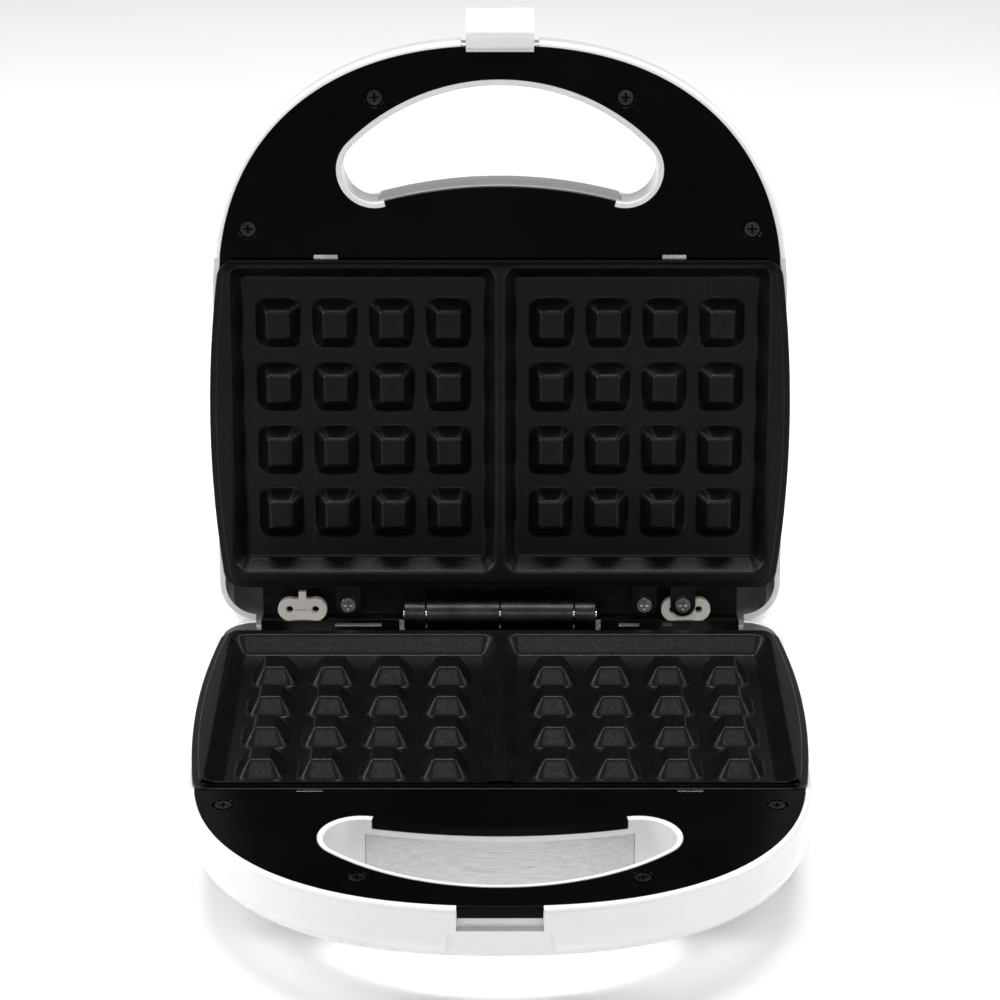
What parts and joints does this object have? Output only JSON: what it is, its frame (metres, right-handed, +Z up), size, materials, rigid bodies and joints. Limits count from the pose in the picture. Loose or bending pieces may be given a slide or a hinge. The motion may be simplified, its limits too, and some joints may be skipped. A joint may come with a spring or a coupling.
{
  "type": "waffle maker",
  "caption": "Two-slice hinged waffle maker with rounded front, built-in handle openings, pyramid-patterned plates and a front latch.",
  "frame": {"origin": "on the table, at the middle of the opened machine's footprint box", "axes": "+X to the right along the hinge, +Y from the front to the hinge, +Z up"},
  "size_m": [0.2428, 0.3106, 0.2992],
  "materials": {
    "white_casing": "gloss",
    "black_trim": "satin gloss",
    "nonstick": "black non-stick coating",
    "brushed_steel": "brushed",
    "spring_steel": "satin",
    "dark_screw": "black oxide",
    "heater_steel": "oxidised",
    "dark_sheet": "matt",
    "dark_bracket": "satin",
    "ceramic": "unglazed steatite",
    "rubber": "matt",
    "brass": "satin",
    "lead_sleeve": "woven glass sleeve",
    "red_lens": "clear moulded",
    "green_lens": "clear moulded",
    "lamp_glass": "clear"
  },
  "bodies": {
    "base": {"base_casing": "white_casing", "base_trim": "black_trim", "base_grip_inlay": "brushed_steel", "rubber_feet": "rubber", "base_trim_screws": "dark_screw", "lower_plate": "nonstick", "lower_plate_clips": "spring_steel", "lower_plate_screws": "dark_screw", "lower_heating_element": "heater_steel", "lower_heat_shield": "dark_sheet", "lower_insulators": "ceramic", "thermostat": "ceramic", "thermal_fuse": "brass", "terminal_block": "ceramic", "cord_gland": "rubber", "internal_leads": "lead_sleeve", "base_hinge_bracket": "dark_bracket", "base_bracket_screws": "dark_screw", "hinge_pin": "spring_steel"},
    "lid": {"lid_casing": "white_casing", "lid_trim": "black_trim", "lid_grip_inlay": "brushed_steel", "lid_panel": "brushed_steel", "lid_trim_screws": "dark_screw", "upper_plate": "nonstick", "upper_plate_clips": "spring_steel", "upper_plate_screws": "dark_screw", "upper_heating_element": "heater_steel", "upper_heat_shield": "dark_sheet", "upper_insulators": "ceramic", "plate_brackets": "dark_bracket", "plate_bracket_screws": "dark_screw", "lid_hinge_bracket": "dark_bracket", "lid_bracket_screws": "dark_screw", "power_lens": "red_lens", "ready_lens": "green_lens", "indicator_lamps": "lamp_glass", "latch_pin": "spring_steel", "latch_spring": "spring_steel"},
    "latch": {"latch": "white_casing"}
  },
  "joints": [
    {"name": "lid_hinge", "type": "hinge", "parent": "base", "child": "lid", "pos_m": [0, 0.08764, 0.046], "axis": [1, 0, 0], "range_deg": [0, 98]},
    {"name": "latch_pivot", "type": "hinge", "parent": "lid", "child": "latch", "pos_m": [0, 0.12993, 0.28221], "axis": [-1, 0, 0], "range_deg": [0, 20], "stiffness_Nm_per_rad": 0.06, "springref_deg": -11.46}
  ]
}
